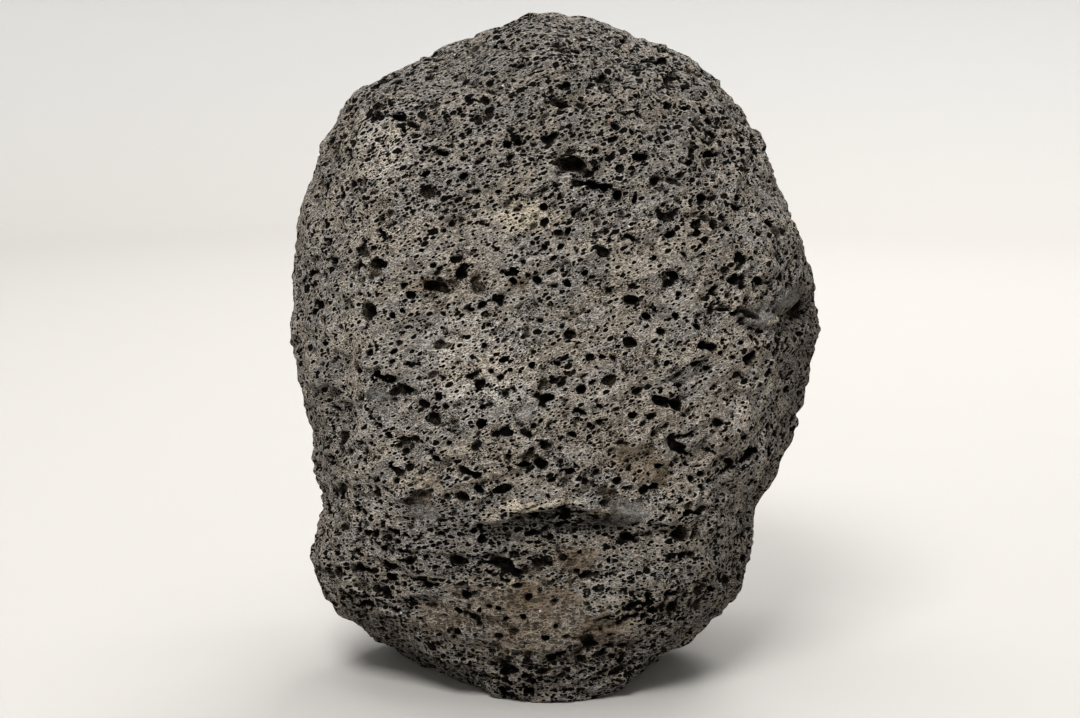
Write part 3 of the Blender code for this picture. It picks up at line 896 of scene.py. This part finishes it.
mark("mineral", nearness(MINERAL_PATCHES))
mark("dust", nearness(DUST_PATCHES))
mark("brown", nearness(BROWN_PATCHES))
mark("slate", nearness(SLATE_PATCHES))
mark("recess_shade", nearness(RECESS_SHADE))
mark("pale", nearness(PALE_PATCHES))


def node(kind, label, **sockets):
    """A node with a label and the values of its sockets."""
    made = basalt.node_tree.nodes.new(kind)
    made.label = label
    for key, value in sockets.items():
        made.inputs[key].default_value = value
    return made


def measured(name, label):
    """A number stored on the skin's points."""
    made = node("ShaderNodeAttribute", label)
    made.attribute_name = name
    return made.outputs["Fac"]


def spread(source, low, high, first=0.0, second=1.0):
    """Spread a value between two bounds smoothly."""
    made = node("ShaderNodeMapRange", "spread")
    made.interpolation_type = "SMOOTHSTEP"
    links.new(source, made.inputs["Value"])
    for name, value in zip(("From Min", "From Max", "To Min", "To Max"), (low, high, first, second)):
        made.inputs[name].default_value = value
    return made.outputs["Result"]


def sum_of(operation, *terms):
    """One operation on two or more values in turn."""
    total = terms[0]
    for term in terms[1:]:
        made = node("ShaderNodeMath", operation.lower())
        made.operation = operation
        for socket, value in zip(made.inputs, (total, term)):
            if isinstance(value, (int, float)):
                socket.default_value = value
            else:
                links.new(value, socket)
        total = made.outputs[0]
    return total


def plus(*terms):
    """The values added up."""
    return sum_of("ADD", *terms)


def times(*terms):
    """The values multiplied."""
    return sum_of("MULTIPLY", *terms)


def most_of(*terms):
    """The largest of the values."""
    return sum_of("MAXIMUM", *terms)


def laid_over(factor, under, over, how="MIX"):
    """One colour laid over another."""
    made = node("ShaderNodeMix", how.lower())
    made.data_type = "RGBA"
    made.blend_type = how
    for name, value in (("Factor_Float", factor), ("A_Color", under), ("B_Color", over)):
        socket = next(item for item in made.inputs if item.identifier == name)
        if isinstance(value, (int, float)):
            socket.default_value = value
        elif isinstance(value, tuple):
            socket.default_value = (*value, 1.0)
        else:
            links.new(value, socket)
    return next(item for item in made.outputs if item.identifier == "Result_Color")


def along_flow(tilt, stretch):
    """The place on the stone in millimetres, turned and stretched along the flow."""
    made = node(
        "ShaderNodeMapping", "along the flow",
        Rotation=(0, -math.radians(tilt), 0), Scale=(stretch * MM, MM, MM),
    )
    made.vector_type = "TEXTURE"
    links.new(place.outputs["Object"], made.inputs["Vector"])
    return made.outputs["Vector"]


def noise_of(vector, scale, detail, roughness, label):
    """Cloudy noise along a vector."""
    made = node("ShaderNodeTexNoise", label, Scale=scale, Detail=detail, Roughness=roughness)
    links.new(vector, made.inputs["Vector"])
    return made.outputs["Fac"]


def cells_of(vector, scale, label):
    """How far the nearest cell's middle is, and two numbers that are the cell's own."""
    made = node("ShaderNodeTexVoronoi", label, Scale=scale)
    links.new(vector, made.inputs["Vector"])
    parts = node("ShaderNodeSeparateColor", "the cell's own")
    links.new(made.outputs["Color"], parts.inputs["Color"])
    return made.outputs["Distance"], parts.outputs[0], parts.outputs[1]


def as_grey(value):
    """A number as a grey."""
    made = node("ShaderNodeCombineColor", "grey")
    for socket in made.inputs:
        links.new(value, socket)
    return made.outputs["Color"]


def pin_bubbles(vector, scale, share, size, label):
    """Bubbles too small to model: the hole as painted shade, its pale rim as painted highlight, and
    the foam of walls.
    """
    distance, chance, _ = cells_of(vector, scale, label)
    reach = plus(spread(chance, 1 - share, 1.0, -0.1, size), times(porous_and_shaded, 0.12))
    beyond = sum_of("SUBTRACT", distance, reach)
    hole = spread(beyond, -0.05, 0.05, 1.0, 0.0)
    rim = times(spread(beyond, 0.03, 0.09), spread(beyond, 0.10, 0.24, 1.0, 0.0))
    return hole, rim, spread(distance, 0.25, 0.7)


def web_of(vector, scale, label):
    """The thin walls where small bubbles meet."""
    made = node("ShaderNodeTexVoronoi", label, Scale=scale)
    made.feature = "DISTANCE_TO_EDGE"
    links.new(vector, made.inputs["Vector"])
    return spread(made.outputs["Distance"], 0.01, 0.13, 1.0, 0.0)


def specks(vector, scale, share, size, label):
    """Small single grains, one in some of the cells."""
    distance, chance, _ = cells_of(vector, scale, label)
    return times(spread(distance, 0.6 * size, size, 1.0, 0.0), spread(chance, 1 - share, 1.01 - share))


place = node("ShaderNodeTexCoord", "place on the stone")
split = node("ShaderNodeSeparateXYZ", "height")
links.new(place.outputs["Object"], split.inputs["Vector"])
level = along_flow(0, 1.0)
turn = noise_of(level, 0.12, 2.0, 0.5, "where the flow turns")
turn = sum_of("GREATER_THAN", plus(split.outputs["Z"], times(turn, 0.03)), FLOW_HEIGHT)


def flowing(stretch):
    """Along the flow, which lies level low on the stone and climbs above."""
    made = node("ShaderNodeMix", "flow below and above")
    made.data_type = "VECTOR"
    links.new(turn, made.inputs[0])
    links.new(along_flow(FLOW_BELOW, stretch), made.inputs[4])
    links.new(along_flow(FLOW_ABOVE, stretch), made.inputs[5])
    return made.outputs[1]


flow = flowing(FLOW_STRETCH)
streak_flow = flowing(STREAK_STRETCH)

# Grain, streaks and pin bubbles, which crowd low on the stone, at its crown and flanks
depth = measured("depth", "depth in a bubble")
openness = measured("openness", "openness")
grain = noise_of(flow, 1.0, 6.0, 0.78, "grain")
clouds = noise_of(flow, 0.05, 3.0, 0.6, "clouds")
waver = times(sum_of("SUBTRACT", clouds, 0.5), 0.05)
height = plus(split.outputs["Z"], waver)
aside = plus(split.outputs["X"], waver)
porous_and_shaded = most_of(
    spread(height, *POROUS_FOOT, 1.0, 0.0), spread(height, *POROUS_CROWN),
    spread(aside, *POROUS_LEFT, 0.8, 0.0), spread(aside, *POROUS_RIGHT),
)
patchy = noise_of(flow, 0.45, 5.0, 0.7, "patchy")
streaks = noise_of(streak_flow, 0.55, 4.0, 0.62, "streaks")
wide_holes, wide_rims, _ = pin_bubbles(flow, 0.52, 0.30, 0.40, "pin bubbles")
mid_holes, mid_rims, _ = pin_bubbles(flow, 0.86, 0.75, 0.43, "finer pin bubbles")
fine_holes, fine_rims, fine_foam = pin_bubbles(flow, 1.45, 0.90, 0.46, "finest pin bubbles")
dust_foam = pin_bubbles(flow, 3.2, 0.6, 0.5, "foam")[2]
holes = most_of(wide_holes, mid_holes, fine_holes)
rims = most_of(wide_rims, mid_rims, fine_rims)


def edged(name):
    """A patch with a ragged edge."""
    return spread(plus(measured(name, name), times(patchy, 2.2)), 1.35, 1.8)


slate = edged("slate")
mineral = edged("mineral")
bare = sum_of("SUBTRACT", 1.0, times(slate, 0.85))
dusty = edged("dust")
holes = times(holes, spread(depth, 0.5, 1.5, 1.0, 0.3), bare, spread(dusty, 0.0, 1.0, 1.0, 0.6))
# Painted shade on the recess under the ledge, with more streaks there
recess_shade = measured("recess_shade", "recess under the ledge")
web = most_of(web_of(flow, 0.80, "walls"), web_of(flow, 1.7, "finer walls"))
# The pin bubbles' pale rims in this texture are painted highlight
texture = plus(
    times(grain, 1.15), times(fine_foam, 0.15), times(dust_foam, 0.35), times(rims, 0.42),
    times(streaks, plus(0.9, times(recess_shade, 0.8))), times(web, 0.32), times(recess_shade, -0.4),
)
stone = laid_over(spread(texture, 1.33, 1.90), STONE_DARK, STONE_PALE)
# Painted highlight: paler where the surface stands open, on rims and thin edges
stone = laid_over(spread(openness, 0.75, 1.0, 0.0, 0.25), stone, STONE_PALE)

# Colour: cool and warm greys, ground dust, smooth slaty skin and pale mineral crusts
hue = spread(noise_of(streak_flow, 0.16, 5.0, 0.75, "cool and warm"), 0.40, 0.60)
stone = laid_over(1.0, stone, laid_over(hue, COOL, WARM), "MULTIPLY")
ground = times(dusty, spread(texture, 1.30, 1.85, 0.25, 0.66), spread(patchy, 0.40, 0.60, 0.5, 1.0))
stone = laid_over(ground, stone, DUST)
stone = laid_over(times(edged("brown"), 0.5), stone, BROWN)
stone = laid_over(times(slate, 0.55), stone, SLATE)
stone = laid_over(times(mineral, spread(texture, 1.2, 1.75, 0.1, 0.95)), stone, MINERAL)

# Painted shade: darker where pin bubbles crowd at the foot, crown and flanks, and in the recess under
# the ledge; clouds vary the tone at random, and the rubbed patches are paler
tone = times(
    spread(porous_and_shaded, 0.0, 1.0, 1.0, 0.74), spread(clouds, 0.3, 0.7, 0.88, 1.12),
    spread(recess_shade, 0.2, 0.9, 1.0, 0.55),
    spread(measured("pale", "rubbed paler"), 0.15, 0.9, 1.0, PALE_GAIN),
)
stone = laid_over(1.0, stone, as_grey(tone), "MULTIPLY")

# Inside the bubbles: painted shade, browner and darker with depth, and near-black painted shade where
# they are deep and narrow
narrow = times(spread(openness, 0.50, 0.88, 1.0, 0.25), bare)
walls = laid_over(1.0, stone, BUBBLE_SHADE, "MULTIPLY")
stone = laid_over(spread(depth, 0.2, 1.3), stone, walls)
# Painted shade: the pin bubbles' holes laid on in near black
stone = laid_over(holes, stone, HOLE_SHADE_BLACK)
black = most_of(times(spread(depth, 0.4, 1.1), narrow), spread(depth, 1.9, 3.2, 0.0, 0.9))
stone = laid_over(black, stone, HOLE_SHADE_BLACK)
stone = laid_over(specks(level, *CRYSTALS, "crystals"), stone, CRYSTAL)
stone = laid_over(specks(level, *RUSTY_GRAINS, "rusty grains"), stone, RUST)
links.new(stone, shader.inputs["Base Color"])

# Relief and dullness
relief = sum_of("SUBTRACT", times(texture, 0.9), times(holes, 0.8))
relief = times(relief, spread(slate, 0.0, 1.0, 1.0, RELIEF_ON_SLATE))
bump = node("ShaderNodeBump", "relief", Strength=1.0, Distance=RELIEF_DEPTH * MM)
links.new(relief, bump.inputs["Height"])
dullness = spread(slate, 0.0, 1.0, STONE_ROUGHNESS, SLATE_ROUGHNESS)
links.new(dullness, shader.inputs["Roughness"])
links.new(bump.outputs["Normal"], shader.inputs["Normal"])
skin.data.materials.clear()
skin.data.materials.append(basalt)

# ---------------------------------------------------------------------------------------
# The studio.  A round pale paper floor that turns up into a wall all round, so that the
# stone stands before plain paper from any side, under four soft boxes.
# ---------------------------------------------------------------------------------------
FLOOR_RADIUS = 1.15
FLOOR_RING = 0.3
SWEEP_RADIUS = 0.25
WALL_HEIGHT = 1.5
SWEEP_SIDES = 96
SWEEP_STEPS = 12
FLOOR_TONE = (0.305, 0.292, 0.276)
WALL_TONE = (0.325, 0.322, 0.315)
WALL_TONE_HEIGHT = 0.15
PAPER_ROUGHNESS = 0.9

# The soft boxes: name, place, what each looks at, width and height in metres, watts
SOFT_BOXES = (
    ("front_softbox", (-0.3, -0.75, 1.25), (0, 0, 0.08), (0.6, 0.4), 27.0),
    ("top_softbox", (0.0, 0.0, 1.3), (0, 0, 0), (1.2, 0.8), 9.0),
    ("back_softbox", (0.4, 0.95, 0.85), (0, -0.1, 0.02), (0.7, 0.5), 16.0),
    ("wall_softbox", (0.0, 0.35, 1.5), (0, 1.15, 0.35), (1.8, 0.3), 19.0),
)
AIR_COLOUR = (1, 0.99, 0.97)
AIR_LIGHT = 0.25
LENS = 64.5
SENSOR_WIDTH = 36


def sweep_mesh():
    """A floor that turns up into a round wall, as a surface of revolution."""
    bend = FLOOR_RADIUS - SWEEP_RADIUS
    profile = [(0.0, 0.0), (FLOOR_RING, 0.0), (bend, 0.0)]
    for step in range(1, SWEEP_STEPS + 1):
        turn = math.radians(90 * step / SWEEP_STEPS)
        profile.append((
            bend + SWEEP_RADIUS * math.sin(turn), SWEEP_RADIUS - SWEEP_RADIUS * math.cos(turn),
        ))
    profile.append((FLOOR_RADIUS, WALL_HEIGHT))
    turned = bmesh.new()
    edges = []
    corners = [turned.verts.new((reach, 0, z)) for reach, z in profile]
    for first, second in zip(corners, corners[1:]):
        edges.append(turned.edges.new((first, second)))
    bmesh.ops.spin(
        turned, geom=corners + edges, axis=(0, 0, 1), cent=(0, 0, 0), steps=SWEEP_SIDES,
        angle=math.tau, use_merge=True,
    )
    bmesh.ops.remove_doubles(turned, verts=turned.verts, dist=MM)
    bmesh.ops.recalc_face_normals(turned, faces=turned.faces)
    mesh = bpy.data.meshes.new("studio_sweep")
    turned.to_mesh(mesh)
    turned.free()
    mesh.shade_smooth()
    return mesh


sweep = bpy.data.objects.new("studio_sweep", sweep_mesh())
bpy.context.scene.collection.objects.link(sweep)
paper = bpy.data.materials.new("pale_paper")
paper.use_nodes = True
paper_shader = paper.node_tree.nodes["Principled BSDF"]
paper_shader.inputs["Roughness"].default_value = PAPER_ROUGHNESS
paper_place = paper.node_tree.nodes.new("ShaderNodeTexCoord")
paper_split = paper.node_tree.nodes.new("ShaderNodeSeparateXYZ")
paper_tone = paper.node_tree.nodes.new("ShaderNodeValToRGB")
paper.node_tree.links.new(paper_place.outputs["Object"], paper_split.inputs["Vector"])
paper.node_tree.links.new(paper_split.outputs["Z"], paper_tone.inputs["Fac"])
paper.node_tree.links.new(paper_tone.outputs["Color"], paper_shader.inputs["Base Color"])
paper_tone.color_ramp.elements[0].color = (*FLOOR_TONE, 1)
paper_tone.color_ramp.elements[1].color = (*WALL_TONE, 1)
paper_tone.color_ramp.elements[1].position = WALL_TONE_HEIGHT
sweep.data.materials.append(paper)


def soft_light(name, place, aim, size, power):
    """A soft box that looks at a point."""
    lamp = bpy.data.lights.new(name, "AREA")
    lamp.shape = "RECTANGLE"
    lamp.size, lamp.size_y = size
    lamp.energy = power
    thing = bpy.data.objects.new(name, lamp)
    thing.location = place
    thing.rotation_euler = (Vector(aim) - Vector(place)).to_track_quat("-Z", "Y").to_euler()
    bpy.context.scene.collection.objects.link(thing)


for box in SOFT_BOXES:
    soft_light(*box)
air = bpy.data.worlds.new("studio_air")
air.use_nodes = True
air.node_tree.nodes["Background"].inputs["Color"].default_value = (*AIR_COLOUR, 1)
air.node_tree.nodes["Background"].inputs["Strength"].default_value = AIR_LIGHT
bpy.context.scene.world = air
bpy.context.scene.view_settings.view_transform = "Standard"

view = bpy.data.cameras.new("studio_camera")
view.lens = LENS
view.sensor_width = SENSOR_WIDTH
camera = bpy.data.objects.new("studio_camera", view)
camera.location = EYE * MM
camera.rotation_euler = (math.radians(90 - EYE_DROP), 0, 0)
bpy.context.scene.collection.objects.link(camera)
bpy.context.scene.camera = camera
